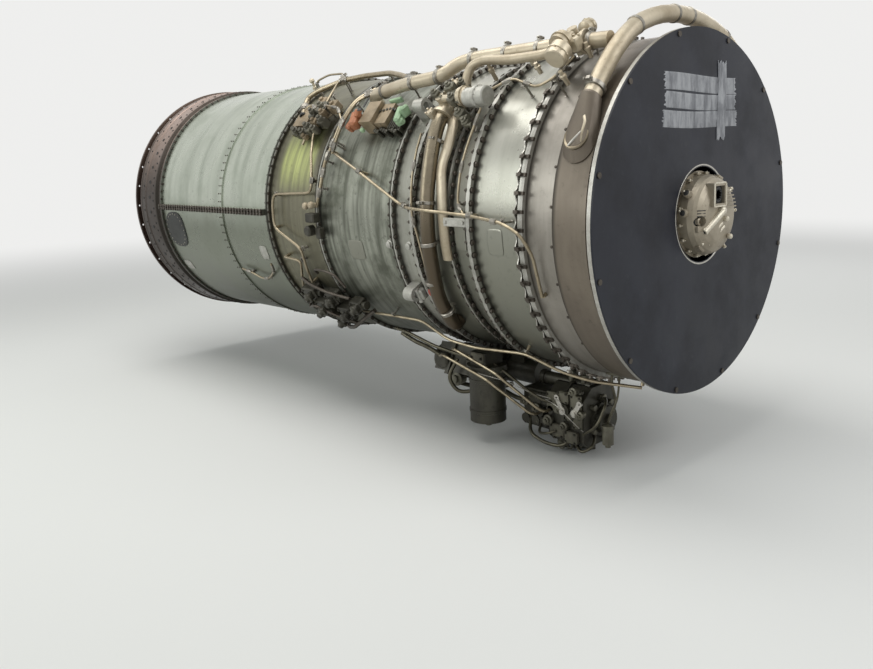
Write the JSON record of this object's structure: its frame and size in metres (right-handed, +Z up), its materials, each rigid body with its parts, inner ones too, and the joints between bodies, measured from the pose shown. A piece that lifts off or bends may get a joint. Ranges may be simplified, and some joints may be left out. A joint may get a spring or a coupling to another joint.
{
  "type": "turbofan engine",
  "caption": "Two-spool turbofan jet engine with a full-length outer duct, ribbed nose housing, covered inlet, and accessories slung below.",
  "frame": {"origin": "centre of the exhaust flange's rear face, on the engine axis", "axes": "+X forward along the engine axis towards the inlet, +Z up"},
  "size_m": [2.8454, 1.1463, 1.3893],
  "materials": {
    "tan_paint": "satin",
    "grey_green_paint": "satin",
    "pale_duct": "satin",
    "olive_metal": "satin",
    "cast_case": "matte",
    "nose_casting": "satin",
    "cover_board": "satin",
    "dark_fasteners": "satin",
    "titanium": "polished",
    "hot_steel": "satin",
    "steel": "polished",
    "gearbox_paint": "satin",
    "oily_casting": "satin",
    "air_duct": "satin",
    "bleed_duct": "satin",
    "tubes": "polished",
    "boxes": "satin"
  },
  "bodies": {
    "engine": {"inlet_case": "tan_paint", "anti_ice_band": "tan_paint", "inlet_guide_vanes": "titanium", "front_bearing_case": "nose_casting", "nose_housing": "nose_casting", "inlet_cover": "cover_board", "case_bolts": "dark_fasteners", "fan_case_front": "grey_green_paint", "fan_case_rear": "grey_green_paint", "fan_stator_vanes": "titanium", "fan_exit_case": "grey_green_paint", "low_compressor_case": "cast_case", "low_stator_vanes": "titanium", "intermediate_case": "cast_case", "compressor_duct": "olive_metal", "combustion_duct": "olive_metal", "rear_duct_upper": "pale_duct", "rear_duct_lower": "pale_duct", "rear_mount_ring": "tan_paint", "exhaust_flange": "hot_steel", "core_compressor_case": "cast_case", "core_stator_vanes": "titanium", "diffuser_case": "hot_steel", "combustion_cans": "hot_steel", "fuel_manifold": "tubes", "turbine_case": "hot_steel", "turbine_nozzle_vanes": "hot_steel", "turbine_exhaust_case": "hot_steel", "exhaust_struts": "hot_steel", "tail_cone": "hot_steel", "main_bearings": "steel", "gearbox_housing": "gearbox_paint", "oil_filter_can": "oily_casting", "oil_tank": "gearbox_paint", "starter": "oily_casting", "fuel_pump": "oily_casting", "fuel_control": "oily_casting", "pneumatic_duct": "air_duct", "anti_ice_ducts": "air_duct", "bleed_duct": "bleed_duct", "anti_ice_valve": "air_duct", "bleed_valve": "air_duct", "fluid_tubes": "tubes", "ignition_boxes": "boxes"},
    "low_spool": {"fan_disks": "titanium", "fan_blades_front": "titanium", "fan_blades_rear": "titanium", "low_compressor_drum": "titanium", "low_compressor_blades": "titanium", "low_shaft": "steel", "low_turbine_disks": "hot_steel", "low_turbine_blades": "hot_steel"},
    "core_spool": {"core_rotor_drum": "titanium", "core_compressor_blades": "titanium", "core_turbine_wheel": "hot_steel", "core_turbine_blades": "hot_steel"},
    "tower": {"tower_shaft": "steel"},
    "power_lever": {"power_lever": "steel"},
    "shutoff_lever": {"shutoff_lever": "steel"},
    "anti_ice_butterfly": {"anti_ice_butterfly": "steel"},
    "bleed_butterfly": {"bleed_butterfly": "steel"}
  },
  "joints": [
    {"name": "low_spin", "type": "hinge", "parent": "engine", "child": "low_spool", "pos_m": [1.2, 0, 0], "axis": [1, 0, 0], "continuous": true},
    {"name": "core_spin", "type": "hinge", "parent": "engine", "child": "core_spool", "pos_m": [1.5, 0, 0], "axis": [1, 0, 0], "continuous": true},
    {"name": "tower_spin", "type": "hinge", "parent": "engine", "child": "tower", "pos_m": [1.963, 0, -0.3], "axis": [0, 0, 1], "continuous": true},
    {"name": "power_lever_turn", "type": "hinge", "parent": "engine", "child": "power_lever", "pos_m": [2.4043, -0.204, -0.6294], "axis": [0, -1, 0], "range_deg": [-60, 60]},
    {"name": "shutoff_lever_turn", "type": "hinge", "parent": "engine", "child": "shutoff_lever", "pos_m": [2.4533, -0.204, -0.6294], "axis": [0, -1, 0], "range_deg": [-30, 30]},
    {"name": "anti_ice_butterfly_turn", "type": "hinge", "parent": "engine", "child": "anti_ice_butterfly", "pos_m": [2.557, -0.32297, 0.49733], "axis": [0, -0.5446, 0.8387], "range_deg": [0, 90]},
    {"name": "bleed_butterfly_turn", "type": "hinge", "parent": "engine", "child": "bleed_butterfly", "pos_m": [2.118, -0.41596, 0.34903], "axis": [0, -0.766, 0.6428], "range_deg": [0, 90]}
  ],
  "couplings": [
    {"joint": "tower_spin", "follows": "core_spin", "ratio": -2.8235}
  ]
}
